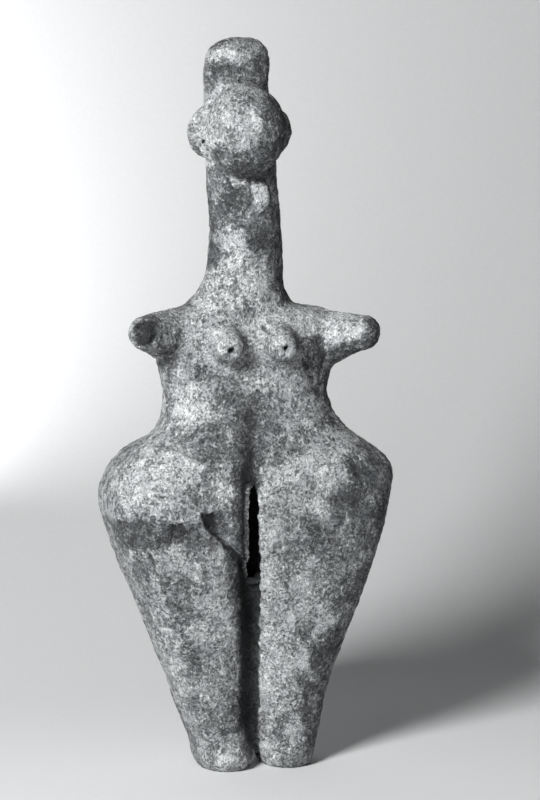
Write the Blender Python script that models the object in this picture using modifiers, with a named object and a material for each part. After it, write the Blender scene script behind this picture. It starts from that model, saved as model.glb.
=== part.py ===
"""Fired clay figurine of a standing woman, with a long neck, stub arms, broad hips and tapering legs.

It is built as its potter built it: rolls and pellets of clay are pressed together and smoothed over into one
solid body, which is then pierced with a reed and trimmed flat under the feet. Sizes are in millimetres, and
MM turns them into metres. +Z is up, the figure faces -Y and its soles stand on Z = 0. "Left" and "right" are
the figure's own, so its right side is at -X.
"""

import math

import bmesh
import bpy
from mathutils import Matrix, Vector

MM = 0.001

# How finely the clay is worked.
ROLL_SIDES = 48
ROLL_STEPS = 6
VOXEL = 0.9
BLEND_ROUNDS = 8
FACE_SHARE = 0.028

# The modelling axis is the neck's. This carries it, so that the origin is the middle of the box at the soles.
FRAME_SHIFT = (-1.57, -6.99, 0.0)

# The trunk from inside the hips to the top of the head.
# Each station is its height, side shift, half width, front reach, back reach and squareness.
TRUNK = [
    (62, 8.0, 6, 13.0, 10, 2.2),
    (72, 8.0, 9, 18.4, 12, 2.8),
    (84, 7.5, 12, 21.6, 14, 3.0),
    (91, 7.0, 14, 23.2, 16, 3.2),
    (98, 6.5, 20, 24.6, 20, 3.4),
    (105, 5.0, 32, 25.8, 24, 3.4),
    (113, 3.2, 47, 26.6, 28, 3.6),
    (121, 2.8, 54, 26.6, 27, 3.6),
    (129, 3.0, 51.0, 24.6, 24, 3.4),
    (135, 2.2, 46.5, 22.2, 21, 3.2),
    (139, 1.6, 41.5, 20.4, 19.2, 3.0),
    (143, 1.2, 38.2, 19.0, 18.0, 2.8),
    (149, 0.3, 35.2, 17.4, 16.5, 2.7),
    (158, -0.4, 33.8, 16.4, 15.2, 2.7),
    (168, 0.0, 36.3, 16.8, 15.5, 2.5),
    (176, 0.0, 38.5, 16.8, 15.5, 2.3),
    (183, 0.0, 38.5, 16.2, 15.2, 2.2),
    (187, 0.0, 37.0, 15.6, 15.0, 2.2),
    (189.5, 0.0, 32.5, 15.0, 14.9, 2.3),
    (191.8, -2.4, 23.2, 14.7, 14.8, 2.2),
    (195, -1.8, 20.0, 14.4, 14.6, 2.1),
    (199, -1.5, 17.4, 14.1, 14.4, 2.1),
    (204.5, -0.6, 15.9, 13.8, 14.0, 2.1),
    (214, 0.1, 15.3, 13.5, 13.7, 2.1),
    (227, -0.3, 14.6, 13.2, 13.2, 2.1),
    (240, -1.4, 14.3, 12.8, 12.8, 2.1),
    (250, -1.7, 14.2, 12.0, 12.5, 2.1),
    (262, -2.4, 13.8, 9.5, 12.0, 2.2),
    (276, -3.2, 13.0, 8.5, 12.0, 2.3),
    (285, -3.2, 13.4, 8.5, 12.0, 2.3),
    (291, -2.9, 13.2, 8.5, 11.8, 2.3),
    (296, -2.6, 11.6, 7.5, 10.5, 2.2),
    (299, -1.8, 7.8, 5.0, 7.5, 2.1),
    (300.3, -1.4, 3.0, 2.0, 3.5, 2.0),
]
RIGHT_LEG = [
    (-2, -8.6, 10.0, 10, 17, 2.2),
    (1.5, -8.9, 11.0, 13, 19, 2.3),
    (5, -9.4, 12.4, 14.5, 20, 2.4),
    (11, -9.6, 13.2, 12.5, 20, 2.4),
    (18, -11.2, 14.2, 12.0, 20.5, 2.5),
    (28, -13.2, 15.6, 13.0, 22, 2.6),
    (38, -15.0, 17.1, 14.5, 24, 2.7),
    (48, -17.3, 18.9, 16.0, 26, 2.8),
    (58, -19.2, 20.5, 18.0, 28.5, 2.9),
    (68.5, -21.3, 22.0, 20.0, 31, 3.0),
    (78.6, -23.9, 23.8, 22.0, 34, 3.0),
    (88.7, -26.2, 25.6, 23.8, 37, 3.0),
    (97, -27.8, 26.4, 25.0, 39, 3.0),
    (105, -29.2, 27.6, 26.4, 40, 3.0),
    (114, -29.9, 28.2, 27.0, 40, 2.9),
    (122, -29.4, 26.6, 26.5, 36, 2.8),
    (128.5, -28.8, 23.9, 24.5, 31, 2.6),
    (133.5, -27.6, 20.3, 21.8, 26, 2.4),
    (138.5, -26.0, 13.0, 15.0, 17, 2.1),
]
LEFT_LEG = [
    (-2, 17.0, 10.0, 10, 18, 2.2),
    (1.5, 17.2, 11.2, 12, 20, 2.3),
    (5, 17.0, 12.3, 13, 21, 2.4),
    (11, 17.5, 13.1, 12, 21, 2.4),
    (18, 17.9, 14.3, 12, 21.5, 2.5),
    (28, 18.2, 15.3, 13, 23, 2.6),
    (38, 19.4, 17.0, 14.5, 25, 2.7),
    (48, 21.0, 19.0, 16, 27, 2.9),
    (58, 22.6, 21.1, 18, 29, 3.0),
    (68.5, 24.2, 23.1, 20, 31.5, 3.2),
    (78.6, 25.6, 25.0, 22, 34, 3.3),
    (88.7, 26.9, 27.0, 23.8, 37, 3.4),
    (98.7, 28.1, 28.9, 25.4, 39.5, 3.4),
    (108.7, 28.9, 30.1, 26.6, 40, 3.4),
    (116, 29.5, 30.9, 27, 38.5, 3.2),
    (122, 30.0, 31.2, 26.5, 35, 3.0),
    (127, 29.8, 29.4, 25, 31, 2.8),
    (132, 28.4, 25.0, 22.8, 26, 2.5),
    (136.5, 27.0, 16.0, 16, 18, 2.2),
]
# The thin wall of clay that the legs are pressed against each other with.
WEB = [
    (7, 3.8, 1.5, 2, 6, 2.0),
    (12, 3.6, 2.6, 5, 8, 2.0),
    (40, 2.4, 2.8, 8, 10, 2.0),
    (70, 0.6, 3.0, 12, 13, 2.0),
    (90, -0.8, 3.4, 16, 15, 2.0),
    (104, -1.6, 4.0, 20, 18, 2.0),
    (112, -2.0, 4.0, 20, 22, 2.0),
]
# The blade's cut up between the thighs. Its back reach is how deep it goes.
BLADE = [
    (81.5, -1.2, 0.8, 45, -14, 4.0),
    (85.0, -1.4, 2.3, 45, -5, 4.0),
    (97.0, -2.3, 2.6, 45, 2, 4.0),
    (108.0, -3.2, 2.4, 45, 3, 4.0),
    (116.0, -3.9, 1.6, 45, 0, 4.0),
    (122.0, -4.3, 0.4, 45, -12, 4.0),
]

# An arm's stations run from its root, inside the shoulder, to its tip. The right arm's end is dished.
ARM = [
    (0, 0, 9.0, 8.5, 15.0, 2.0),
    (9, 0, 9.2, 8.4, 16.5, 2.0),
    (18, 0, 8.8, 8.4, 14.6, 2.0),
    (26, 0, 8.2, 8.0, 11.2, 2.0),
    (34, 0, 7.3, 7.4, 7.9, 2.0),
    (39, 0, 6.4, 6.6, 6.6, 2.0),
    (41.5, 0, 4.6, 4.8, 4.8, 2.0),
    (42.5, 0, 2.0, 2.0, 2.0, 2.0),
]
ARMS = [((-19.0, 9.0, 182.6), (-48.8, -18.8, 184.0)), ((19.0, 9.0, 179.4), (49.0, -18.8, 181.2))]
ARM_DISH = 4.4
ARM_DISH_DEPTH = 1.8

# Breasts: base, tip and the reed hole's radius.
BREASTS = [
    ((-12.3, -14.0, 178.4), (-12.5, -27.0, 177.2), 1.7),
    ((9.9, -14.0, 178.0), (10.1, -26.4, 177.3), 1.4),
]
BREAST = [
    (-2, 0, 9.5, 9.5, 9.5, 2.0),
    (2.5, 0, 7.8, 7.8, 7.8, 2.0),
    (6, 0, 6.6, 6.6, 6.6, 2.0),
    (9, 0, 5.8, 5.8, 5.8, 2.0),
    (11.6, 0, 5.2, 5.2, 5.2, 2.0),
    (13, 0, 3.6, 3.6, 3.6, 2.0),
]
REED_DEPTH = 4.5

# The head is a ball pressed on the front of the neck, with a pierced disc at each side.
BALL_CENTRE = (-3.2, -13.5, 264.0)
BALL_RADII = (16.3, 15.5, 18.6)
EARS = [(-13.8, -2.8, 262.8), (7.6, -2.8, 262.8)]
EAR = [
    (-3.4, 0, 7.0, 7.0, 7.0, 2.0),
    (-2.4, 0, 10.4, 10.4, 10.4, 2.0),
    (0, 0, 11.2, 11.2, 11.2, 2.0),
    (2.4, 0, 10.4, 10.4, 10.4, 2.0),
    (3.4, 0, 7.0, 7.0, 7.0, 2.0),
]
EAR_HOLES = [(-18.7, 259.3), (14.6, 259.3)]
EAR_HOLE_RADIUS = 1.0

SEAT = [((-28.0, 16.0, 112.0), (28.0, 27.0, 23.0)), ((30.5, 16.0, 112.0), (28.0, 27.0, 23.0))]
APRON_CENTRE = (-9.0, -19.5, 107.0)
APRON_RADII = (6.8, 7.0, 19.0)
APRON_LEAN = -11.0


def spline(before, start, end, after, share):
    """One value on the smooth curve through start and end, with its neighbours setting the slopes."""
    slope_in = (end - before) / 2
    slope_out = (after - start) / 2
    a = 2 * start - 2 * end + slope_in + slope_out
    b = -3 * start + 3 * end - 2 * slope_in - slope_out
    return ((a * share + b) * share + slope_in) * share + start


def smooth_stations(stations):
    """The stations with ROLL_STEPS rings from each one to the next, on a smooth curve."""
    rings = []
    last = len(stations) - 1
    for index in range(last):
        around = [stations[min(max(index + step, 0), last)] for step in (-1, 0, 1, 2)]
        for step in range(ROLL_STEPS):
            rings.append([spline(*values, step / ROLL_STEPS) for values in zip(*around)])
    rings.append(list(stations[last]))
    return rings


def ring_of_edges(loop):
    """The edges that run around one ring of vertices."""
    members = set(loop)
    return [edge for edge in {edge for vert in loop for edge in vert.link_edges}
            if edge.verts[0] in members and edge.verts[1] in members]


def roll_of_clay(clay, stations, matrix=None, sides=ROLL_SIDES):
    """Adds a closed roll of clay, lofted through its stations along +Z and then carried by the matrix."""
    loops = []
    for height, side, half_width, front, back, squareness in smooth_stations(stations):
        loop = bmesh.ops.create_circle(clay, segments=sides, radius=1.0)["verts"]
        for vert in loop:
            x, y = vert.co.x, vert.co.y
            reach = (abs(x) ** squareness + abs(y) ** squareness) ** (-1 / squareness)
            middle, depth = (back - front) / 2, (front + back) / 2
            vert.co = Vector((side + half_width * x * reach, middle + depth * y * reach, height)) * MM
        loops.append(loop)
    for lower, upper in zip(loops, loops[1:]):
        bmesh.ops.bridge_loops(clay, edges=ring_of_edges(lower) + ring_of_edges(upper))
    for loop in (loops[0], loops[-1]):
        clay.faces.new(loop)
    if matrix:
        bmesh.ops.transform(clay, matrix=matrix, verts=[vert for loop in loops for vert in loop])


def pellet_of_clay(clay, centre, radii, lean=0.0):
    """Adds an egg-shaped pellet, which leans by so many degrees about Y."""
    matrix = Matrix.Translation(Vector(centre) * MM) @ Matrix.Rotation(math.radians(lean), 4, "Y")
    matrix = matrix @ Matrix.Diagonal(Vector(radii) * MM).to_4x4()
    bmesh.ops.create_uvsphere(clay, u_segments=40, v_segments=24, radius=1.0, matrix=matrix)


def along(start, end):
    """Carries what is made along +Z onto the line from start to end, with its +Y side turned down."""
    start, end = Vector(start) * MM, Vector(end) * MM
    forward = (end - start).normalized()
    down = Vector((0, 0, -1)) + forward * forward.z
    down.normalize()
    turn = Matrix((down.cross(forward), down, forward)).transposed().to_4x4()
    return Matrix.Translation(start) @ turn


def press_clay():
    """All the rolls and pellets, still overlapping, as one mesh."""
    clay = bmesh.new()
    for stations in (TRUNK, RIGHT_LEG, LEFT_LEG, WEB):
        roll_of_clay(clay, stations)
    for root, tip in ARMS:
        roll_of_clay(clay, ARM, along(root, tip))
    for base, tip, _ in BREASTS:
        roll_of_clay(clay, BREAST, along(base, tip))
    pellet_of_clay(clay, BALL_CENTRE, BALL_RADII)
    for x, y, z in EARS:
        roll_of_clay(clay, EAR, along((x, y, z), (x, y - 1.0, z)))
    for centre, radii in SEAT:
        pellet_of_clay(clay, centre, radii)
    pellet_of_clay(clay, APRON_CENTRE, APRON_RADII, APRON_LEAN)
    bmesh.ops.recalc_face_normals(clay, faces=clay.faces)
    return clay


def cut_tools():
    """The reed for the breasts and ears, the thumb for an arm's end, the blade and the board under the feet."""
    tools = bmesh.new()
    for base, tip, radius in BREASTS:
        length = (Vector(tip) - Vector(base)).length
        matrix = along(base, tip) @ Matrix.Translation(Vector((0, 0, length + 5 - REED_DEPTH)) * MM)
        bmesh.ops.create_cone(tools, cap_ends=True, segments=14, radius1=radius * 0.7 * MM,
                              radius2=radius * 1.25 * MM, depth=10 * MM, matrix=matrix)
    for x, z in EAR_HOLES:
        matrix = Matrix.Translation(Vector((x, -3.0, z)) * MM) @ Matrix.Rotation(math.pi / 2, 4, "X")
        bmesh.ops.create_cone(tools, cap_ends=True, segments=12, radius1=EAR_HOLE_RADIUS * MM,
                              radius2=EAR_HOLE_RADIUS * MM, depth=18 * MM, matrix=matrix)
    root, tip = ARMS[0]
    length = (Vector(tip) - Vector(root)).length
    reach = (ARM_DISH ** 2 + ARM_DISH_DEPTH ** 2) / (2 * ARM_DISH_DEPTH)
    matrix = along(root, tip) @ Matrix.Translation(Vector((0, 0, length + reach - ARM_DISH_DEPTH)) * MM)
    bmesh.ops.create_uvsphere(tools, u_segments=24, v_segments=16, radius=reach * MM, matrix=matrix)
    roll_of_clay(tools, BLADE, sides=12)
    board = Matrix.Translation(Vector((4, 4, -6)) * MM) @ Matrix.Diagonal(Vector((90, 70, 12)) * MM).to_4x4()
    bmesh.ops.create_cube(tools, size=1.0, matrix=board)
    bmesh.ops.recalc_face_normals(tools, faces=tools.faces)
    return tools


def to_object(name, work, collection):
    """Turns a bmesh into an object of the collection, carried into the part's frame."""
    mesh = bpy.data.meshes.new(name)
    work.to_mesh(mesh)
    work.free()
    thing = bpy.data.objects.new(name, mesh)
    thing.location = Vector(FRAME_SHIFT) * MM
    collection.objects.link(thing)
    return thing


def make_material(name, colour, roughness):
    """A plain material, so that the part has a colour of its own."""
    material = bpy.data.materials.new(name)
    material.use_nodes = True
    shader = material.node_tree.nodes["Principled BSDF"]
    shader.inputs["Base Color"].default_value = (*colour, 1.0)
    shader.inputs["Roughness"].default_value = roughness
    return material


def make_collection(name):
    collection = bpy.data.collections.new(name)
    bpy.context.scene.collection.children.link(collection)
    return collection


def build():
    """The figurine as one closed solid."""
    tools = to_object("reed_and_board", cut_tools(), make_collection("Cutters"))
    tools.hide_render = True
    tools.display_type = "WIRE"
    figurine = to_object("figurine", press_clay(), make_collection("Figurine"))
    figurine.data.materials.append(make_material("fired_clay", (0.32, 0.32, 0.32), 0.9))
    press = figurine.modifiers.new("press_together", "REMESH")
    press.mode = "VOXEL"
    press.voxel_size = VOXEL * MM
    blend = figurine.modifiers.new("smooth_over", "SMOOTH")
    blend.factor = 0.5
    blend.iterations = BLEND_ROUNDS
    facet = figurine.modifiers.new("facet", "DECIMATE")
    facet.ratio = FACE_SHARE
    facet.use_collapse_triangulate = True
    pierce = figurine.modifiers.new("pierce_and_trim", "BOOLEAN")
    pierce.operation = "DIFFERENCE"
    pierce.solver = "EXACT"
    pierce.object = tools
    return figurine


def main():
    for old in list(bpy.data.objects):
        bpy.data.objects.remove(old)
    build()


main()
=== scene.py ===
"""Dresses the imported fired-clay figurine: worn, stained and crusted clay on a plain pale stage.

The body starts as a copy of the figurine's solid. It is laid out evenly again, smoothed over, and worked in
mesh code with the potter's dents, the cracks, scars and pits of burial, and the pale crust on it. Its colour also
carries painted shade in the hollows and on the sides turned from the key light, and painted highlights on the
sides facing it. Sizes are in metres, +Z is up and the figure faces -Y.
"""

import math

import bmesh
import bpy
import numpy as np
from mathutils import Matrix, Vector, noise


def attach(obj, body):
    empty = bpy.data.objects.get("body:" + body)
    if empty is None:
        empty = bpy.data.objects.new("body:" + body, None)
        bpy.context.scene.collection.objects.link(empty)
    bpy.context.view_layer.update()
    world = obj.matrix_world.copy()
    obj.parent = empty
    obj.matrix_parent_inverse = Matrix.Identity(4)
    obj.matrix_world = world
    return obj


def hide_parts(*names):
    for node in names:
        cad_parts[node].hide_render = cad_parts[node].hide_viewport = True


bl_info = {
    "name": "Fired Clay Figurine",
    "version": (1, 0, 0),
    "blender": (4, 5, 0),
    "location": "3D View > Sidebar > Figurine",
    "description": "Works the worn clay skin of a figurine and sets it on a pale stage",
    "category": "Object",
}

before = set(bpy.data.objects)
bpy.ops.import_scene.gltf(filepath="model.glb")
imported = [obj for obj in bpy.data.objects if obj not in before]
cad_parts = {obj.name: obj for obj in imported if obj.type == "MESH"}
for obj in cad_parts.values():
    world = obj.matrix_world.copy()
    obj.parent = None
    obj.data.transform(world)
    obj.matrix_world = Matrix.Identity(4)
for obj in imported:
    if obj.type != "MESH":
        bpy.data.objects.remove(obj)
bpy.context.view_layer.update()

MM = 0.001
PICTURE_WIDTH = 540
PICTURE_HEIGHT = 800


# Settings that a user would change.


class SkinSettings(bpy.types.PropertyGroup):
    """The shape of the clay's surface."""

    grain: bpy.props.FloatProperty(
        name="Mesh grain", description="Distance between the points of the worked surface",
        default=0.62 * MM, min=0.5 * MM, subtype="DISTANCE", unit="LENGTH", precision=5)
    smoothing: bpy.props.IntProperty(
        name="Smoothing", description="How often the facets of the solid are rubbed over", default=26, min=0)
    dents: bpy.props.FloatProperty(
        name="Finger dents", description="Depth of the broad unevenness that the potter's fingers left",
        default=0.45 * MM, subtype="DISTANCE", unit="LENGTH", precision=5)
    roughness: bpy.props.FloatProperty(
        name="Skin roughness", description="Depth of the small unevenness of the worn skin",
        default=0.30 * MM, subtype="DISTANCE", unit="LENGTH", precision=5)
    pits: bpy.props.FloatProperty(
        name="Pit depth", description="Depth of the small pits where grit has fallen out",
        default=0.5 * MM, subtype="DISTANCE", unit="LENGTH", precision=5)


class ClaySettings(bpy.types.PropertyGroup):
    """The colours of the clay, which also serve as its painted shade and highlights."""

    body: bpy.props.FloatVectorProperty(
        name="Clay", description="Colour of the clay where it is bare",
        default=(0.235, 0.245, 0.252), size=3, subtype="COLOR", min=0, max=1)
    # Smoked flecks also gather in the dark places, where they paint shade.
    smoked: bpy.props.FloatVectorProperty(
        name="Smoked clay", description="Colour of the parts that the kiln's smoke has darkened",
        default=(0.085, 0.092, 0.098), size=3, subtype="COLOR", min=0, max=1)
    # Crust flecks also gather in the pale places, where they paint highlights.
    crust: bpy.props.FloatVectorProperty(
        name="Crust", description="Colour of the pale crust from the ground",
        default=(0.68, 0.70, 0.705), size=3, subtype="COLOR", min=0, max=1)
    # The soil colour also paints shade in every hollow and inward mark.
    soil_and_shade: bpy.props.FloatVectorProperty(
        name="Soil", description="Colour of the soil left in pits and cracks",
        default=(0.012, 0.013, 0.014), size=3, subtype="COLOR", min=0, max=1)


class StageSettings(bpy.types.PropertyGroup):
    """The floor, the lights and the camera."""

    floor: bpy.props.FloatVectorProperty(
        name="Backdrop", description="Colour of the paper sweep",
        default=(0.75, 0.755, 0.76), size=3, subtype="COLOR", min=0, max=1)
    key_power: bpy.props.FloatProperty(
        name="Key light", description="Power of the soft light at the front left", default=18.5, min=0,
        subtype="POWER", unit="POWER")
    key_distance: bpy.props.FloatProperty(
        name="Key distance", description="Distance from the key light to the middle of the figurine",
        default=1.13, min=0.2, subtype="DISTANCE", unit="LENGTH")
    key_turn: bpy.props.FloatProperty(
        name="Key turn", description="How far the key light stands to the left of the camera",
        default=math.radians(28.0), subtype="ANGLE", unit="ROTATION")
    key_rise: bpy.props.FloatProperty(
        name="Key rise", description="How far the key light shines down",
        default=math.radians(29.0), subtype="ANGLE", unit="ROTATION")
    paper_power: bpy.props.FloatProperty(
        name="Paper light", description="Power of the light on the paper at the far left", default=3.2, min=0,
        subtype="POWER", unit="POWER")
    fill: bpy.props.FloatProperty(
        name="Fill light", description="Strength of the even light of the room", default=0.03, min=0)
    camera_distance: bpy.props.FloatProperty(
        name="Camera distance", description="Distance from the camera to the middle of the figurine",
        default=1.6, min=0.2, subtype="DISTANCE", unit="LENGTH")
    camera_turn: bpy.props.FloatProperty(
        name="Camera turn", description="How far the camera stands round towards the figurine's right",
        default=math.radians(15.0), subtype="ANGLE", unit="ROTATION")
    camera_rise: bpy.props.FloatProperty(
        name="Camera rise", description="How far the camera looks down",
        default=math.radians(9.0), subtype="ANGLE", unit="ROTATION")


SETTINGS = {"clay_skin": SkinSettings, "clay_colours": ClaySettings, "clay_stage": StageSettings}

VIEW_HEIGHT = 0.3264
VIEW_CENTRE = Vector((0.00809, -0.00958, 0.15265))


def camera_axes():
    """Where the camera stands, and its right, up and forward directions."""
    stage = bpy.context.scene.clay_stage
    turn, rise = stage.camera_turn, stage.camera_rise
    forward = Vector((math.sin(turn) * math.cos(rise), math.cos(turn) * math.cos(rise), -math.sin(rise)))
    right = Vector((math.cos(turn), -math.sin(turn), 0.0))
    return VIEW_CENTRE - forward * stage.camera_distance, right, right.cross(forward), forward


def picture_places(points):
    """Where points of space lie in the picture, which is 540 by 800, and the directions they are seen along."""
    place, right, up, forward = (np.array(axis) for axis in camera_axes())
    offset = points - place
    focal = PICTURE_HEIGHT * bpy.context.scene.clay_stage.camera_distance / VIEW_HEIGHT
    depth = offset @ forward
    column = PICTURE_WIDTH / 2 + focal * (offset @ right) / depth
    row = PICTURE_HEIGHT / 2 - focal * (offset @ up) / depth
    return np.stack((column, row), axis=1), offset / np.linalg.norm(offset, axis=1)[:, None]


# Marks on the clay, in picture points. A line mark has its points, its width on either side and its depth in
# millimetres, below zero where it goes in. The first width is on the left of a line that runs down, and below
# a line that runs to the right.

LINE_MARKS = {
    "hip_fold": ([(158, 445), (166, 447), (178, 451), (187, 455), (197, 459), (208, 461), (220, 466)], 2.0, 3.0, -0.8),
    "hip_fold_lip": ([(160, 449), (178, 455), (196, 463), (212, 467)], 9, 2, 0.5),
    "hip_edge": ([(104, 506), (118, 519), (140, 518), (160, 518), (178, 523)], 6, 26, 0.5),
    "under_hip": ([(108, 524), (140, 528), (168, 530), (200, 532)], 16, 6, -0.5),
    "hip_scar": ([(122, 464), (130, 468), (145, 468)], 2, 2, -0.4),
    "hip_scratch": ([(119, 501), (136, 503)], 2, 2, -0.35),
    "hip_nick": ([(174, 508), (181, 504)], 1.5, 1.5, -0.4),
    "inner_thigh": ([(252, 452), (255, 480), (257, 510), (258, 560), (258, 620), (258, 700), (258, 760)], 24, 2, -3.2),
    "belly_line": ([(250, 400), (249, 430), (251, 462), (254, 500)], 12, 13, -0.9),
    "apron_groove": ([(207, 520), (214, 532), (226, 546), (238, 560), (247, 570)], 4, 5, -1.6),
    "apron_edge": ([(222, 529), (230, 543), (238, 553), (245, 563)], 2, 9, 0.8),
    "thigh_crack": ([(144, 550), (150, 556), (153, 565), (157, 576), (163, 584)], 2.5, 2.5, -1.0),
    "thigh_crack_low": ([(163, 586), (168, 598), (174, 606)], 2, 3, -0.5),
    "thigh_crack_out": ([(141, 566), (147, 580), (152, 592)], 2, 2, -0.6),
    "thigh_lump": ([(173, 604), (180, 610), (186, 618)], 4, 4, -0.9),
    "edge_line": ([(117, 543), (124, 562), (134, 588), (144, 614), (152, 632)], 2, 2, -0.5),
    "edge_line_low": ([(158, 652), (168, 684), (178, 712)], 2, 2, -0.35),
    "knee_crack": ([(231, 658), (236, 668), (238, 676)], 1.5, 1.5, -0.4),
    "left_crack": ([(279, 562), (283, 576), (287, 588), (292, 600), (297, 607)], 1.4, 1.6, -0.6),
    "left_crack_side": ([(287, 600), (291, 610), (297, 614)], 1.5, 3, -0.4),
    "left_nick": ([(301, 627), (304, 635)], 1.4, 1.4, -0.6),
    "left_notch": ([(282, 642), (286, 649), (288, 658)], 1.8, 1.8, -0.7),
    "chin_crumb": ([(231, 179), (238, 183), (248, 182)], 3, 3, 1.0),
    "chin_line": ([(226, 180), (233, 188), (244, 189), (250, 184)], 2, 2, -0.9),
    "throat_line": ([(250, 182), (252, 192), (255, 205), (259, 214)], 2.4, 1.6, -1.1),
    "throat_back": ([(263, 176), (270, 186), (272, 205)], 3, 3, -0.5),
    "knob_seam": ([(220, 86), (232, 82), (246, 79), (258, 80)], 2.4, 2.0, -0.9),
    "knob_side_seam": ([(207, 74), (210, 84), (214, 90)], 2, 3, -0.7),
    "ball_rim": ([(208, 145), (212, 154), (216, 164)], 3, 2, -0.8),
    "ear_edge": ([(187, 132), (191, 142), (198, 150), (204, 156)], 2, 2, -0.5),
    "neck_ridge": ([(209, 195), (210, 225), (209, 262)], 2.5, 3, -0.4),
    "neck_streak": ([(238, 236), (243, 244), (245, 262)], 3, 3, 0.4),
    "breast_fold": ([(303, 357), (309, 372), (316, 388), (322, 398)], 7, 3, -0.8),
    "arm_fold": ([(326, 352), (320, 372), (318, 392)], 3, 6, -0.4),
    "chest_pit": ([(262, 326), (267, 331), (270, 334)], 2.4, 2.4, -1.3),
    "waist_streak": ([(334, 414), (342, 426), (352, 438)], 4, 3, 0.5),
    "hip_score": ([(350, 458), (357, 470), (364, 486)], 5, 3, -0.7),
    "arm_curl": ([(146, 349), (153, 347), (159, 341), (160, 333)], 2.4, 2.4, 0.9),
    "arm_curl_inner": ([(148, 345), (154, 342), (157, 335)], 1.4, 1.4, -0.7),
    "arm_curl_outer": ([(150, 353), (158, 349), (163, 343)], 1.8, 1.8, -0.6),
    "arm_rim": ([(134, 340), (132, 331), (136, 323), (143, 318)], 2, 2.4, 0.6),
    "rib_line": ([(229, 366), (228, 378), (225, 388)], 2, 2, 0.3),
    "foot_side": ([(185, 742), (191, 754), (198, 765)], 4, 3, 0.6),
    "foot_side_line": ([(188, 738), (196, 752), (204, 765)], 2, 2, -0.5),
}

# An area mark has its corners, the width of its soft edge and its depth in millimetres.

AREA_MARKS = {
    "throat_lump": ([(253, 184), (262, 183), (267, 192), (266, 206), (259, 212), (254, 200)], 3, 1.1),
    "hip_flake": ([(171, 525), (184, 524), (187, 533), (181, 543), (171, 544), (173, 534)], 2, -0.8),
    "arm_dish": ([(138, 330), (146, 322), (155, 324), (156, 336), (148, 345), (140, 343)], 5, -1.2),
    "thigh_hollow": ([(204, 516), (214, 516), (216, 528), (208, 530)], 4, -1.5),
    "arm_hollow": ([(163, 329), (169, 328), (169, 333), (164, 333)], 3, -0.6),
    "ball_worn": ([(250, 114), (256, 110), (262, 120), (262, 130), (258, 132)], 2, 0.3),
    "hip_ring": ([(296, 453), (300, 456), (297, 460), (293, 457)], 5, -0.35),
}

# Small round pits: the picture point, the width and the depth in millimetres.

PIT_MARKS = {
    "knob": (211, 54, 2.6, 1.1), "knob_low": (214, 80, 2.2, 1.2), "knob_mid": (218, 72, 3, 0.6),
    "brow": (245, 95, 3, 0.6), "temple": (217, 102, 2.4, 0.5), "cheek": (237, 137, 2.4, 0.4),
    "ball_side": (270, 113, 4, 0.6), "neck": (253, 243, 3, 0.7), "neck_base": (209, 288, 3, 0.5),
    "hip_top": (121, 463, 2.6, 0.7), "hip_mid": (176, 498, 2.6, 0.7), "hip_front": (202, 493, 2, 0.5),
    "groin": (232, 500, 2.6, 0.9), "groin_low": (229, 533, 3, 0.9), "arm": (184, 326, 2.4, 0.7),
    "slot_side": (262, 484, 2, 1.0), "hip_dot": (297, 456, 1.6, 0.5), "left_shin": (300, 678, 3.4, 0.5),
    "waist": (247, 447, 3, 0.7), "belly": (222, 443, 2.6, 0.5), "thigh": (156, 611, 2, 0.6),
    "knee": (210, 598, 2, 0.5), "shin": (153, 632, 2.4, 0.6), "chest": (208, 345, 1.8, 0.3),
    "left_chest": (309, 345, 2.6, 0.6), "left_chest_low": (304, 350, 2, 0.5), "side": (249, 404, 2.4, 0.5),
}

# Dark and pale places: corners, the width of the soft edge, and the strength. The dark places are stains and painted
# shade; the pale places are crust, wear and painted highlights.

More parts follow.
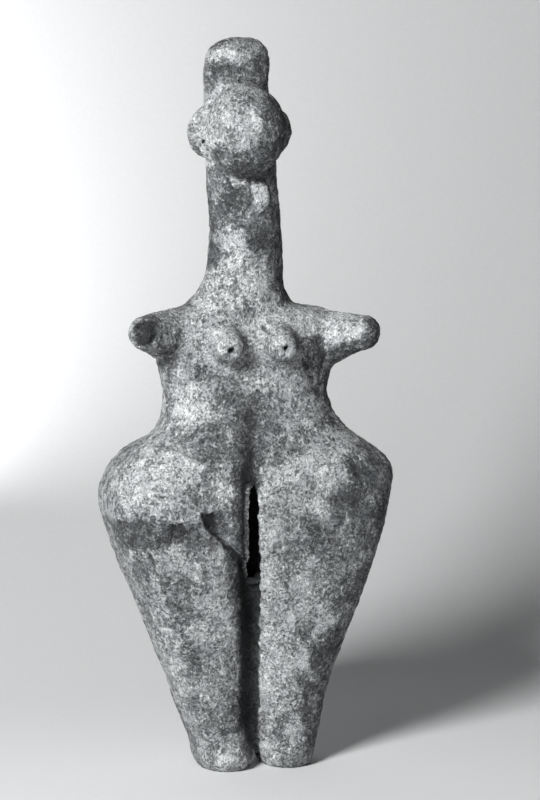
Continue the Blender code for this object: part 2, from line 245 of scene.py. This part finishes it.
STAINS_AND_PAINTED_SHADE = {
    "knob": ([(214, 66), (226, 64), (240, 68), (236, 78), (224, 76), (217, 80)], 5, 0.8),
    # Painted shade: the knob's crown and its right side, turned from the key light.
    "knob_crown": ([(216, 46), (222, 39), (245, 38), (262, 44), (256, 48), (232, 46)], 4, 0.35),
    "knob_side": ([(256, 48), (268, 60), (266, 84), (260, 80)], 6, 0.45),
    # Painted shade under the ball's chin, partly a dark stain at the mouth, and on the ball's shaded right side.
    "chin": ([(216, 152), (240, 158), (268, 148), (268, 170), (240, 178), (222, 172)], 7, 0.75),
    "mouth": ([(236, 164), (262, 164), (258, 176), (240, 176)], 4, 1.0),
    "ball_side": ([(266, 96), (280, 104), (284, 140), (270, 160), (272, 130)], 8, 0.6),
    "ball_spots": ([(228, 92), (248, 92), (250, 100), (232, 102)], 5, 0.5),
    "neck_front": ([(210, 188), (236, 190), (250, 200), (256, 222), (230, 232), (212, 226)], 7, 0.65),
    "neck_left": ([(209, 243), (217, 244), (217, 266), (210, 266)], 4, 0.9),
    # Painted shade on the neck's shaded right side.
    "neck_right": ([(252, 214), (274, 206), (277, 246), (258, 250), (248, 236)], 6, 0.75),
    "neck_side": ([(272, 180), (280, 200), (286, 300), (274, 286), (270, 240)], 5, 0.5),
    # Painted shade in the arm's dish, in the near armpit, on the far arm's end and under that arm.
    "arm_dish": ([(136, 332), (146, 320), (156, 322), (156, 338), (146, 348), (138, 344)], 4, 0.9),
    "right_armpit": ([(160, 350), (172, 352), (170, 366), (163, 364)], 5, 0.5),
    "arm_end": ([(368, 320), (378, 322), (378, 342), (366, 346)], 5, 0.8),
    "arm_under": ([(330, 352), (352, 344), (368, 342), (362, 350), (336, 362)], 4, 0.7),
    # Painted shade, with some dark specks, in the far armpit and down the shaded far flank and waist.
    "left_armpit": ([(300, 340), (318, 338), (322, 354), (316, 376), (306, 362)], 5, 0.75),
    "left_side": ([(312, 378), (326, 372), (330, 404), (318, 402)], 6, 0.7),
    "left_waist": ([(308, 408), (332, 404), (336, 420), (316, 424)], 8, 0.35),
    "belly": ([(236, 398), (262, 396), (266, 420), (258, 456), (242, 454), (236, 424)], 9, 0.6),
    "belly_left": ([(198, 432), (228, 432), (230, 452), (206, 452)], 8, 0.45),
    "ribs": ([(206, 390), (236, 380), (240, 396), (212, 404)], 8, 0.3),
    "groin": ([(238, 456), (256, 456), (258, 490), (240, 500)], 6, 0.6),
    # Painted shade on the inner thigh and on the apron, which turn from the key light, under the hip roll and in the
    # hollow beside it.
    "inner_thigh": ([(238, 500), (250, 500), (248, 560), (252, 640), (240, 640), (232, 560)], 7, 0.75),
    "apron": ([(228, 532), (249, 520), (247, 568), (236, 552)], 3, 0.8),
    "under_hip": ([(114, 524), (150, 520), (172, 524), (168, 540), (140, 548), (122, 540)], 5, 0.8),
    "under_hip_mid": ([(184, 530), (206, 526), (214, 546), (190, 548)], 6, 0.6),
    "thigh_hollow": ([(202, 516), (220, 516), (228, 532), (212, 534)], 4, 0.9),
    "knee_right": ([(166, 578), (186, 584), (192, 620), (176, 618)], 7, 0.5),
    "shin_right": ([(184, 646), (198, 650), (196, 658), (184, 656)], 5, 0.5),
    # Painted shade on the far hip's shaded outer side.
    "left_hip_side": ([(360, 448), (390, 462), (384, 520), (372, 600), (352, 600), (364, 520)], 7, 0.65),
    "left_hip_streak": ([(346, 456), (354, 458), (368, 488), (360, 490)], 4, 0.7),
    # Painted shade under the far hip roll and down the far leg's shaded outer side.
    "left_hip_cloud": ([(336, 500), (362, 500), (362, 526), (340, 526)], 8, 0.65),
    "thigh_cloud": ([(292, 524), (322, 526), (330, 546), (300, 544)], 9, 0.4),
    "left_thigh_low": ([(326, 548), (352, 546), (346, 606), (330, 580)], 9, 0.45),
    "left_shin_side": ([(318, 648), (338, 626), (330, 690), (312, 744), (308, 700)], 7, 0.65),
    "left_shin": ([(294, 672), (304, 672), (304, 684), (296, 684)], 4, 0.6),
    # Painted shade on the inner side of the near ankle, turned from the key light.
    "ankle": ([(216, 716), (236, 700), (240, 728), (224, 730)], 8, 0.4),
}
CRUST_WEAR_AND_PAINTED_HIGHLIGHTS = {
    # Painted highlights on the upper left of the knob and of the ball, which face the key light.
    "knob": ([(210, 52), (222, 50), (236, 56), (220, 64), (210, 70)], 5, 0.4),
    "ball_left": ([(208, 104), (218, 92), (236, 84), (226, 110), (214, 140), (208, 150)], 7, 0.5),
    "ear": ([(188, 118), (198, 106), (206, 108), (206, 130), (192, 134)], 4, 0.4),
    "ball_rim": ([(204, 148), (210, 150), (214, 166), (208, 164)], 3, 0.9),
    "ball_worn": ([(252, 112), (260, 116), (263, 128), (258, 130)], 3, 0.7),
    "throat": ([(254, 186), (264, 186), (266, 204), (258, 210)], 3, 0.5),
    "chin": ([(232, 179), (246, 180), (244, 186), (236, 186)], 2, 0.8),
    "neck": ([(228, 230), (244, 234), (246, 262), (236, 264)], 5, 0.6),
    "neck_base": ([(206, 272), (226, 268), (262, 278), (250, 300), (214, 308), (200, 304)], 9, 0.6),
    "collar": ([(216, 306), (256, 300), (262, 322), (226, 330)], 9, 0.35),
    # Painted highlights on the arm tops, on the upper left of the breasts and along the far shoulder.
    "arm_top": ([(164, 316), (182, 312), (190, 322), (172, 326)], 6, 0.5),
    "breast": ([(216, 330), (230, 328), (234, 342), (218, 350)], 6, 0.8),
    "left_breast": ([(262, 330), (282, 328), (284, 342), (264, 350)], 6, 0.7),
    "shoulder": ([(268, 312), (304, 310), (330, 314), (366, 318), (356, 336), (318, 330)], 8, 0.5),
    "chest": ([(190, 312), (216, 312), (214, 330), (196, 330)], 8, 0.4),
    "ribs": ([(184, 396), (200, 392), (208, 414), (190, 428), (180, 420)], 7, 0.8),
    # Painted highlights on the crown of the hip roll and on its lit side.
    "hip_crown": ([(150, 452), (176, 456), (196, 466), (190, 484), (154, 482), (134, 466)], 8, 0.75),
    "hip_left": ([(116, 476), (140, 484), (172, 490), (156, 504), (122, 500)], 8, 0.5),
    "hip_ledge": ([(166, 518), (184, 521), (188, 530), (184, 528), (178, 523), (168, 522)], 2, 1.0),
    # Painted highlights on the lit left half of the lump by the groin and on the far thigh's inner edge, which faces
    # the key light.
    "groin": ([(214, 484), (232, 488), (230, 504), (218, 504)], 6, 0.3),
    "left_thigh_edge": ([(258, 492), (270, 486), (276, 520), (266, 546), (260, 530)], 6, 0.7),
    "left_hip": ([(284, 462), (308, 460), (312, 472), (290, 478)], 6, 0.7),
    "left_thigh": ([(268, 478), (312, 478), (320, 506), (286, 524)], 12, 0.35),
    "left_hip_high": ([(316, 448), (344, 442), (364, 456), (350, 452), (330, 462)], 7, 0.4),
    # Painted highlight on the far knee's inner side, which faces the key light.
    "left_knee": ([(262, 560), (280, 562), (290, 640), (284, 720), (262, 730)], 8, 0.45),
    "left_shin": ([(300, 590), (318, 596), (314, 640), (296, 660)], 10, 0.25),
    "left_foot": ([(264, 744), (276, 744), (276, 760), (266, 758)], 4, 0.7),
    "foot": ([(204, 758), (240, 750), (242, 766), (214, 770)], 5, 0.5),
    "outer_leg": ([(152, 634), (166, 656), (180, 690), (176, 700), (160, 664)], 4, 0.5),
    "shin": ([(196, 640), (214, 636), (218, 662), (204, 668)], 8, 0.25),
}


def near_line(spots, points, first, second, taper=0.18):
    """1 on a line of picture points, falling to 0 at its width on either side and towards its ends."""
    span = max(first, second)
    near = np.zeros(len(spots))
    low, high = np.min(points, axis=0) - span, np.max(points, axis=0) + span
    picked = np.nonzero(((spots > low) & (spots < high)).all(axis=1))[0]
    best, width = np.full(len(picked), 1e9), np.full(len(picked), float(first))
    passed, reached = 0.0, np.zeros(len(picked))
    for start, end in zip(np.array(points, float), np.array(points[1:], float)):
        run = end - start
        offset = spots[picked] - start
        share = np.clip(offset @ run / (run @ run), 0, 1)
        distance = np.linalg.norm(offset - share[:, None] * run, axis=1)
        side = run[0] * offset[:, 1] - run[1] * offset[:, 0]
        closer = distance < best
        best[closer] = distance[closer]
        width[closer] = np.where(side > 0, first, second)[closer]
        length = np.linalg.norm(run)
        reached[closer] = passed + (share * length)[closer]
        passed += length
    fade = np.clip(np.minimum(reached, passed - reached) / (taper * passed) + 0.15, 0, 1)
    near[picked] = (1 - np.clip(best / width, 0, 1) ** 2) ** 2 * fade
    return near


def in_area(spots, corners, soft):
    """1 inside a ring of picture points, falling to 0 over the soft edge outside it."""
    near = np.zeros(len(spots))
    low, high = np.min(corners, axis=0) - soft, np.max(corners, axis=0) + soft
    picked = np.nonzero(((spots > low) & (spots < high)).all(axis=1))[0]
    at = spots[picked]
    best, inside = np.full(len(picked), 1e9), np.zeros(len(picked), bool)
    ring = np.array(corners, float)
    for start, end in zip(ring, np.roll(ring, -1, axis=0)):
        run = end - start
        offset = at - start
        share = np.clip(offset @ run / (run @ run), 0, 1)
        best = np.minimum(best, np.linalg.norm(offset - share[:, None] * run, axis=1))
        if run[1]:
            crosses = (start[1] > at[:, 1]) != (end[1] > at[:, 1])
            inside ^= crosses & (at[:, 0] < start[0] + run[0] * (at[:, 1] - start[1]) / run[1])
    fall = 1 - np.clip(best / soft, 0, 1)
    near[picked] = np.where(inside, 1.0, fall * fall * (3 - 2 * fall))
    return near


def apply_modifiers(thing):
    """The mesh that the object's modifiers make, with the modifiers then removed."""
    bpy.context.view_layer.update()
    evaluated = thing.evaluated_get(bpy.context.evaluated_depsgraph_get())
    mesh = bpy.data.meshes.new_from_object(evaluated)
    thing.modifiers.clear()
    return mesh


def mesh_points(mesh, what="co"):
    """The mesh's points, or their normals, as rows."""
    rows = np.empty(len(mesh.vertices) * 3, dtype=np.float32)
    source = mesh.vertices if what == "co" else mesh.vertex_normals
    source.foreach_get("co" if what == "co" else "vector", rows)
    return rows.reshape(-1, 3).astype(float)


# The small shapes that stay crisp when the facets are rubbed over: the picture point and the reach.

CRISP = [(232, 350, 16), (286, 348, 15), (203, 141, 9), (146, 334, 20), (253, 490, 8), (254, 505, 9), (254, 520, 9),
         (254, 535, 9), (254, 550, 9), (255, 565, 8)]


def worked_copy(node, skin):
    """The node's mesh laid out evenly at the skin's grain and rubbed smooth, its small shapes kept crisp."""
    work = bmesh.new()
    work.from_mesh(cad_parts[node].data)
    bmesh.ops.remove_doubles(work, verts=work.verts, dist=1e-6)
    mesh = bpy.data.meshes.new("worked")
    work.to_mesh(mesh)
    work.free()
    draft = bpy.data.objects.new("worked", mesh)
    bpy.context.scene.collection.objects.link(draft)
    remesh = draft.modifiers.new("even", "REMESH")
    remesh.mode = "VOXEL"
    remesh.voxel_size = skin.grain
    draft.data = apply_modifiers(draft)
    points = mesh_points(draft.data)
    spots, sight = picture_places(points)
    front = (mesh_points(draft.data, "normal") * sight).sum(axis=1) < 0.3
    soft = np.ones(len(points))
    for column, row, reach in CRISP:
        away = np.hypot(spots[:, 0] - column, spots[:, 1] - row)
        soft = np.where(front, np.minimum(soft, np.clip((away - reach) / 10 + 0.12, 0.12, 1.0)), soft)
    group = draft.vertex_groups.new(name="soft")
    for index, weight in enumerate(soft):
        group.add([index], float(weight), "REPLACE")
    rub = draft.modifiers.new("rub", "SMOOTH")
    rub.factor = 0.5
    rub.iterations = skin.smoothing
    rub.vertex_group = "soft"
    result = apply_modifiers(draft)
    bpy.data.objects.remove(draft)
    return result


def work_surface(mesh, skin):
    """Pushes each point in or out for dents, roughness, pits and marks, and paints hollows with soil and painted shade,
    stains and painted shade, crust and painted highlights, and the painted light and shade of the relief.
    """
    points, normals = mesh_points(mesh), mesh_points(mesh, "normal")
    count = len(points)
    spots, sight = picture_places(points)
    front = np.clip(((normals * sight).sum(axis=1) * -1 - 0.02) / 0.15, 0, 1)
    at = [Vector(point) for point in points]
    wander = np.array([noise.noise_vector(point * 420)[:2] for point in at])
    spots = spots + wander * 1.6

    def field(scale, seed, octaves=1):
        shift = Vector((seed, seed * 0.7, -seed))
        if octaves == 1:
            return np.array([noise.noise(point * scale + shift) for point in at])
        return np.array([noise.fractal(point * scale + shift, 0.75, 2.1, octaves) for point in at])

    push = skin.dents * (field(45, 3) + 0.55 * field(100, 5))
    rough = field(300, 9, 4)
    push += skin.roughness * rough
    crusted = field(140, 14, 5)
    strokes = np.array([noise.noise(Vector((p.x * 520 + p.z * 300, p.y * 520, p.z * 170 - p.x * 110))) for p in at])
    push += 0.4 * skin.roughness * strokes

    marked = np.zeros(count)
    for line, first, second, depth in LINE_MARKS.values():
        marked += depth * MM * near_line(spots, line, first, second)
    for corners, soft, depth in AREA_MARKS.values():
        marked += depth * MM * in_area(spots, corners, soft)
    for column, row, width, depth in PIT_MARKS.values():
        marked -= depth * MM * near_line(spots, [(column, row - 0.1), (column, row + 0.1)], width, width, 1e-6)
    marked *= front

    # Stains and painted shade come from the dark places; crust, wear and painted highlights come from the pale places.
    stain_and_shade, pale = np.zeros(count), np.zeros(count)
    for table, painted in ((STAINS_AND_PAINTED_SHADE, stain_and_shade), (CRUST_WEAR_AND_PAINTED_HIGHLIGHTS, pale)):
        for corners, soft, strength in table.values():
            np.maximum(painted, strength * front * in_area(spots, corners, soft * 1.6), out=painted)

    gritty = np.array([noise.voronoi(point * 230 + Vector((7, 5, 3)))[0][0] for point in at])
    pocked = np.clip((field(70, 21) + 0.1 + 0.5 * stain_and_shade) * 2.5, 0, 1)
    pits = np.clip((0.26 - gritty) / 0.26, 0, 1) * pocked
    # Raised crust flakes, with more of them where the pale places paint crust and highlights.
    flaked = np.clip((crusted + pale * 0.5 - 0.15) * 5, 0, 1)
    push += 0.16 * MM * flaked - skin.pits * pits

    moved = points + normals * (push + marked)[:, None]
    mesh.vertices.foreach_set("co", moved.astype(np.float32).ravel())
    # Painted shade, with soil in the pits: how deep a point sits in a pit or an inward mark, which darkens its colour
    # towards the soil colour.
    hollow_shade_and_soil = np.clip(pits * 0.7 + np.clip(-marked / (1.3 * MM) - 0.2, 0, 1), 0, 1)
    # Painted light and shade of the relief: how far a point stands out or sits in, which lightens or darkens its
    # colour.
    raised = np.clip(rough * 0.5 + marked / (1.2 * MM), -1, 1)
    for name, values in (("hollow_shade_and_soil", hollow_shade_and_soil), ("stain_and_shade", stain_and_shade), ("pale", pale), ("flaked", flaked), ("raised", raised)):
        mesh.attributes.new(name, "FLOAT", "POINT").data.foreach_set("value", values.astype(np.float32))
    mesh.update()


def thinned(mesh, limit):
    """The mesh with fewer triangles, the detail kept where the surface bends."""
    draft = bpy.data.objects.new("thinned", mesh)
    bpy.context.scene.collection.objects.link(draft)
    mesh.calc_loop_triangles()
    thin = draft.modifiers.new("thin", "DECIMATE")
    thin.ratio = min(1.0, limit / len(mesh.loop_triangles))
    result = apply_modifiers(draft)
    bpy.data.objects.remove(draft)
    return result


# Shader building.


class Wiring:
    """Adds nodes to a tree and joins them by socket name."""

    def __init__(self, tree):
        self.tree = tree
        self.column = 0

    def add(self, kind, values=None, **settings):
        """A node with its settings, and its inputs set to plain values or joined to sockets."""
        node = self.tree.nodes.new(kind)
        self.column += 1
        node.location = (self.column % 12 * 190, -(self.column // 12) * 260)
        for name, value in settings.items():
            setattr(node, name, value)
        for name, value in (values or {}).items():
            socket = node.inputs[name]
            if isinstance(value, bpy.types.NodeSocket):
                self.tree.links.new(value, socket)
            else:
                socket.default_value = value
        return node

    def maths(self, operation, first, second=0.5, clamp=False):
        return self.add("ShaderNodeMath", {0: first, 1: second}, operation=operation, use_clamp=clamp).outputs[0]

    def mix(self, share, first, second, blend="MIX"):
        """One colour over another."""
        node = self.add("ShaderNodeMix", data_type="RGBA", blend_type=blend)
        for socket, value in ((node.inputs[0], share), (node.inputs[6], first), (node.inputs[7], second)):
            if isinstance(value, bpy.types.NodeSocket):
                self.tree.links.new(value, socket)
            else:
                socket.default_value = value if socket == node.inputs[0] else (*value[:3], 1.0)
        return node.outputs[2]


def new_group(name, inputs, outputs):
    """An empty node group, its wiring and its inside input sockets."""
    tree = bpy.data.node_groups.new(name, "ShaderNodeTree")
    for label, kind, value in inputs:
        socket = tree.interface.new_socket(label, in_out="INPUT", socket_type="NodeSocket" + kind)
        if value is not None:
            socket.default_value = value
    for label in outputs:
        tree.interface.new_socket(label, in_out="OUTPUT", socket_type="NodeSocketFloat")
    wiring = Wiring(tree)
    return wiring, wiring.add("NodeGroupInput").outputs


def fleck_group():
    """Ragged flecks that gather in clusters: the cover is the share of the surface that they take."""
    if "Clustered Flecks" in bpy.data.node_groups:
        return bpy.data.node_groups["Clustered Flecks"]
    wiring, inside = new_group("Clustered Flecks", (
        ("Vector", "Vector", None), ("Fleck", "Float", 0.002), ("Cluster", "Float", 0.012), ("Seed", "Float", 0.0),
        ("Cover", "Float", 0.3), ("Clustering", "Float", 0.6), ("Edge", "Float", 0.05)), ("Mask", "Field"))
    fine = wiring.add("ShaderNodeTexNoise", {
        "Vector": inside["Vector"], "W": inside["Seed"], "Scale": wiring.maths("DIVIDE", 1.0, inside["Fleck"]),
        "Detail": 4.0, "Roughness": 0.66, "Distortion": 0.4}, noise_dimensions="4D").outputs["Fac"]
    broad = wiring.add("ShaderNodeTexNoise", {
        "Vector": inside["Vector"], "W": inside["Seed"], "Scale": wiring.maths("DIVIDE", 1.0, inside["Cluster"]),
        "Detail": 3.0, "Roughness": 0.55}, noise_dimensions="4D").outputs["Fac"]
    lift = wiring.maths("MULTIPLY", wiring.maths("SUBTRACT", broad, 0.5), inside["Clustering"])
    field = wiring.maths("ADD", fine, lift)
    level = wiring.maths("SUBTRACT", 0.70, wiring.maths("MULTIPLY", inside["Cover"], 0.4))
    mask = wiring.add("ShaderNodeMapRange", {
        "Value": field, "From Min": wiring.maths("SUBTRACT", level, inside["Edge"]),
        "From Max": wiring.maths("ADD", level, inside["Edge"])}, interpolation_type="SMOOTHSTEP").outputs["Result"]
    wiring.add("NodeGroupOutput", {"Mask": mask, "Field": field})
    return wiring.tree


def grain_group():
    """A fine even grain between 0 and 1."""
    if "Clay Grain" in bpy.data.node_groups:
        return bpy.data.node_groups["Clay Grain"]
    wiring, inside = new_group("Clay Grain", (
        ("Vector", "Vector", None), ("Size", "Float", 0.001), ("Seed", "Float", 0.0), ("Contrast", "Float", 3.0)), ("Grain",))
    field = wiring.add("ShaderNodeTexNoise", {
        "Vector": inside["Vector"], "W": inside["Seed"], "Scale": wiring.maths("DIVIDE", 1.0, inside["Size"]),
        "Detail": 3.0, "Roughness": 0.7}, noise_dimensions="4D").outputs["Fac"]
    spread = wiring.maths("MULTIPLY", wiring.maths("SUBTRACT", field, 0.5), inside["Contrast"])
    wiring.add("NodeGroupOutput", {"Grain": wiring.maths("ADD", spread, 0.5, clamp=True)})
    return wiring.tree


def clay_material(colours):
    """Worn clay: smoked patches, pale crust, soil in the pits and a fine grain, with painted shade in the hollows, on
    sunken points and in the dark places, and painted highlights on raised points and in the pale places.
    """
    material = bpy.data.materials.new("worn_fired_clay")
    material.use_nodes = True
    tree = material.node_tree
    tree.nodes.clear()
    wiring = Wiring(tree)
    place = wiring.add("ShaderNodeTexCoord").outputs["Object"]
    strokes = wiring.add("ShaderNodeMapping", {"Vector": place, "Rotation": (0.0, 0.5, 0.0), "Scale": (1.0, 1.0, 0.35)})

    def grouped(group, vector=place, output=0, **values):
        node = wiring.add("ShaderNodeGroup", node_tree=group)
        tree.links.new(vector, node.inputs["Vector"])
        for name, value in values.items():
            if isinstance(value, bpy.types.NodeSocket):
                tree.links.new(value, node.inputs[name])
            else:
                node.inputs[name].default_value = value
        return node.outputs[output]

    def painted(name):
        return wiring.add("ShaderNodeAttribute", attribute_name=name).outputs["Fac"]

    def level(base, painted_share, share):
        return wiring.maths("ADD", base, wiring.maths("MULTIPLY", painted_share, share))

    flecks, grained = fleck_group(), grain_group()
    stain_and_shade, pale, hollow_shade_and_soil, flaked, raised = (painted(name) for name in ("stain_and_shade", "pale", "hollow_shade_and_soil", "flaked", "raised"))
    # The pale places' crust and painted highlights less the dark places' stains and painted shade, which shifts the
    # cover of the flecks below.
    lean = wiring.maths("SUBTRACT", pale, stain_and_shade)
    cloud = grouped(flecks, Fleck=0.006, Cluster=0.03, Seed=1.0, Cover=level(0.45, lean, 0.5), Clustering=0.8, Edge=0.12)
    smoke = grouped(flecks, Fleck=0.0044, Cluster=0.016, Seed=2.0, Cover=level(0.16, lean, -0.36), Clustering=1.1, Edge=0.035)
    specks = grouped(flecks, Fleck=0.0024, Cluster=0.010, Seed=3.0, Cover=level(0.28, lean, -0.30), Clustering=0.8, Edge=0.035)
    pepper = grouped(flecks, Fleck=0.0012, Cluster=0.008, Seed=6.0, Cover=level(0.34, stain_and_shade, 0.20), Clustering=0.5, Edge=0.04)
    crust = grouped(flecks, Fleck=0.0046, Cluster=0.016, Seed=4.0, Cover=level(0.17, lean, 0.36), Clustering=0.9, Edge=0.035)
    flakes = grouped(flecks, Fleck=0.0022, Cluster=0.009, Seed=5.0, Cover=level(0.30, lean, 0.24), Clustering=0.7, Edge=0.035)
    crumbs = grouped(flecks, Fleck=0.0011, Cluster=0.007, Seed=9.0, Cover=level(0.32, lean, 0.12), Clustering=0.4, Edge=0.04)
    grain = grouped(grained, Size=0.0008, Seed=7.0, Contrast=3.0)
    fine_grain = grouped(grained, strokes.outputs[0], Size=0.0018, Seed=8.0, Contrast=2.0)

    # Lighter clay in clouds: more of it where the pale places paint highlights, less where the dark places paint shade.
    light = [min(1.0, channel * 1.6) for channel in colours.body]
    colour = wiring.mix(cloud, colours.body, light)
    # Crust flecks gather where the pale places paint highlights; smoked flecks and soil specks gather where the dark
    # places paint shade.
    layers = ((crust, 0.55, colours.crust), (flaked, 0.15, colours.crust), (smoke, 0.72, colours.smoked),
              (flakes, 0.50, colours.crust), (specks, 0.70, colours.smoked), (crumbs, 0.50, colours.crust),
              (pepper, 0.62, colours.soil_and_shade))
    for mask, share, tint in layers:
        colour = wiring.mix(wiring.maths("MULTIPLY", mask, share), colour, tint)
    shade = wiring.maths("MULTIPLY", wiring.maths("ADD", wiring.maths("MULTIPLY", grain, 0.9), 0.55),
                         wiring.maths("ADD", wiring.maths("MULTIPLY", fine_grain, 0.4), 0.80))
    # Painted light and shade: raised points made lighter and sunken ones darker.
    shade = wiring.maths("MULTIPLY", shade, wiring.maths("ADD", wiring.maths("MULTIPLY", raised, 0.35), 1.0))
    toned = wiring.add("ShaderNodeCombineColor", {0: shade, 1: shade, 2: shade}).outputs[0]
    colour = wiring.mix(1.0, colour, toned, "MULTIPLY")
    # Painted shade, with soil in the pits: the hollows are darkened towards the soil colour.
    colour = wiring.mix(wiring.maths("MULTIPLY", hollow_shade_and_soil, 0.85), colour, colours.soil_and_shade)

    height = wiring.maths("MULTIPLY", grain, 0.30)
    for mask, share in ((fine_grain, 0.20), (crust, 0.50), (flakes, 0.45), (crumbs, 0.25), (specks, -0.55), (pepper, -0.35),
                        (smoke, -0.30)):
        height = wiring.maths("ADD", height, wiring.maths("MULTIPLY", mask, share))
    bump = wiring.add("ShaderNodeBump", {"Strength": 1.0, "Distance": 0.6 * MM, "Height": height}).outputs["Normal"]
    rough = wiring.maths("ADD", wiring.maths("MULTIPLY", grain, 0.15), 0.80)
    shader = wiring.add("ShaderNodeBsdfPrincipled", {
        "Base Color": colour, "Roughness": rough, "Normal": bump, "Specular IOR Level": 0.3})
    wiring.add("ShaderNodeOutputMaterial", {"Surface": shader.outputs[0]})
    return material


def paper_material(stage):
    """Matte paper with a faint unevenness, clear from behind so that it hides nothing in a view from there."""
    material = bpy.data.materials.new("matte_paper")
    material.use_nodes = True
    tree = material.node_tree
    tree.nodes.clear()
    wiring = Wiring(tree)
    place = wiring.add("ShaderNodeTexCoord").outputs["Object"]
    group = wiring.add("ShaderNodeGroup", node_tree=grain_group())
    for name, value in (("Size", 0.002), ("Seed", 9.0), ("Contrast", 2.0)):
        group.inputs[name].default_value = value
    tree.links.new(place, group.inputs["Vector"])
    darker = [channel * 0.95 for channel in stage.floor]
    colour = wiring.mix(group.outputs["Grain"], stage.floor, darker)
    shader = wiring.add("ShaderNodeBsdfPrincipled", {
        "Base Color": colour, "Roughness": 0.9, "Specular IOR Level": 0.1})
    behind = wiring.add("ShaderNodeNewGeometry").outputs["Backfacing"]
    clear = wiring.add("ShaderNodeBsdfTransparent").outputs[0]
    seen = wiring.add("ShaderNodeMixShader", {0: behind, 1: shader.outputs[0], 2: clear})
    wiring.add("ShaderNodeOutputMaterial", {"Surface": seen.outputs[0]})
    return material


class FIGURINE_OT_body(bpy.types.Operator):
    """Works the clay skin of the figurine over its solid"""

    bl_idname = "figurine.body"
    bl_label = "Clay Body"

    def execute(self, context):
        skin = context.scene.clay_skin
        mesh = worked_copy("figurine", skin)
        work_surface(mesh, skin)
        mesh = thinned(mesh, 196000)
        mesh.name = "clay_body"
        body = bpy.data.objects.new("clay_body", mesh)
        context.scene.collection.objects.link(body)
        mesh.materials.clear()
        mesh.materials.append(clay_material(context.scene.clay_colours))
        mesh.shade_smooth()
        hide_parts("figurine")
        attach(body, "root")
        return {"FINISHED"}


class FIGURINE_OT_stage(bpy.types.Operator):
    """Lays the paper sweep and sets the lights and the camera"""

    bl_idname = "figurine.stage"
    bl_label = "Stage"

    def execute(self, context):
        stage = context.scene.clay_stage
        self.lay_paper(context, stage)
        self.set_lights(context, stage)
        self.set_camera(context, stage)
        return {"FINISHED"}

    def lay_paper(self, context, stage):
        """A floor that sweeps up into a wall behind, turned to face the camera."""
        work = bmesh.new()
        made = bmesh.ops.create_grid(work, x_segments=1, y_segments=1, size=1.0)
        bmesh.ops.scale(work, verts=made["verts"], vec=(3.2, 1.6, 1.0))
        bmesh.ops.translate(work, verts=made["verts"], vec=(0.0, -0.805, 0.0))
        back = max(work.edges, key=lambda edge: (edge.verts[0].co.y + edge.verts[1].co.y))
        raised = bmesh.ops.extrude_edge_only(work, edges=[back])["geom"]
        top = [item for item in raised if isinstance(item, bmesh.types.BMVert)]
        bmesh.ops.translate(work, verts=top, vec=(0.0, 0.0, 2.6))
        bmesh.ops.bevel(work, geom=[back], offset=0.695, segments=48, profile=0.5, affect="EDGES", material=-1)
        bmesh.ops.rotate(work, verts=work.verts, matrix=Matrix.Rotation(-stage.camera_turn, 3, "Z"))
        bmesh.ops.recalc_face_normals(work, faces=work.faces)
        floor = min(work.faces, key=lambda face: face.calc_center_median().z)
        if floor.normal.z < 0:
            bmesh.ops.reverse_faces(work, faces=work.faces)
        mesh = bpy.data.meshes.new("paper_sweep")
        work.to_mesh(mesh)
        work.free()
        mesh.shade_smooth()
        mesh.materials.append(paper_material(stage))
        paper = bpy.data.objects.new("paper_sweep", mesh)
        context.scene.collection.objects.link(paper)

    def set_lights(self, context, stage):
        """A soft key light at the front left, a softer one on the paper at the far left, and an even room."""
        _, right, _, forward = camera_axes()
        back = Vector((forward.x, forward.y, 0)).normalized()
        up = Vector((0, 0, 1))
        aim = Vector((0, 0, 0.14))
        turn, rise, distance = stage.key_turn, stage.key_rise, stage.key_distance
        away = -right * math.sin(turn) * math.cos(rise) - back * math.cos(turn) * math.cos(rise) + up * math.sin(rise)
        self.hang_light(context, "key_light", aim + away * distance, aim, stage.key_power, 0.34)
        self.hang_light(context, "paper_light", right * -0.50 + back * 0.41 + up * 0.19,
                        right * -0.44 + back * 1.50 - up * 0.20, stage.paper_power, 0.75)
        world = bpy.data.worlds.new("room")
        context.scene.world = world
        world.use_nodes = True
        background = world.node_tree.nodes["Background"]
        background.inputs["Color"].default_value = (0.97, 0.985, 1.0, 1.0)
        background.inputs["Strength"].default_value = stage.fill

    def hang_light(self, context, name, place, aim, power, size):
        light = bpy.data.lights.new(name, "AREA")
        light.shape = "DISK"
        light.size = size
        light.energy = power
        lamp = bpy.data.objects.new(name, light)
        lamp.location = place
        lamp.rotation_euler = (place - aim).to_track_quat("Z", "Y").to_euler()
        lamp.visible_camera = False
        context.scene.collection.objects.link(lamp)

    def set_camera(self, context, stage):
        place, right, up, forward = camera_axes()
        lens = bpy.data.cameras.new("camera")
        lens.lens = lens.sensor_width * stage.camera_distance / VIEW_HEIGHT
        lens.clip_end = 20
        camera = bpy.data.objects.new("camera", lens)
        camera.location = place
        camera.rotation_euler = Matrix((right, up, -forward)).transposed().to_euler()
        context.scene.collection.objects.link(camera)
        context.scene.camera = camera
        context.scene.view_settings.view_transform = "Standard"


class FIGURINE_PT_panel(bpy.types.Panel):
    """The figurine's settings and steps"""

    bl_idname = "FIGURINE_PT_panel"
    bl_label = "Fired Clay Figurine"
    bl_space_type = "VIEW_3D"
    bl_region_type = "UI"
    bl_category = "Figurine"

    def draw(self, context):
        layout = self.layout
        for name, group in SETTINGS.items():
            box = layout.box()
            for setting in group.__annotations__:
                box.prop(getattr(context.scene, name), setting)
        layout.operator("figurine.body")
        layout.operator("figurine.stage")


CLASSES = (SkinSettings, ClaySettings, StageSettings, FIGURINE_OT_body, FIGURINE_OT_stage, FIGURINE_PT_panel)


def register():
    for cls in CLASSES:
        bpy.utils.register_class(cls)
    for name, group in SETTINGS.items():
        setattr(bpy.types.Scene, name, bpy.props.PointerProperty(type=group))


def unregister():
    for name in SETTINGS:
        delattr(bpy.types.Scene, name)
    for cls in reversed(CLASSES):
        bpy.utils.unregister_class(cls)


def main():
    register()
    bpy.ops.figurine.body()
    bpy.ops.figurine.stage()


if __name__ == "__main__":
    main()
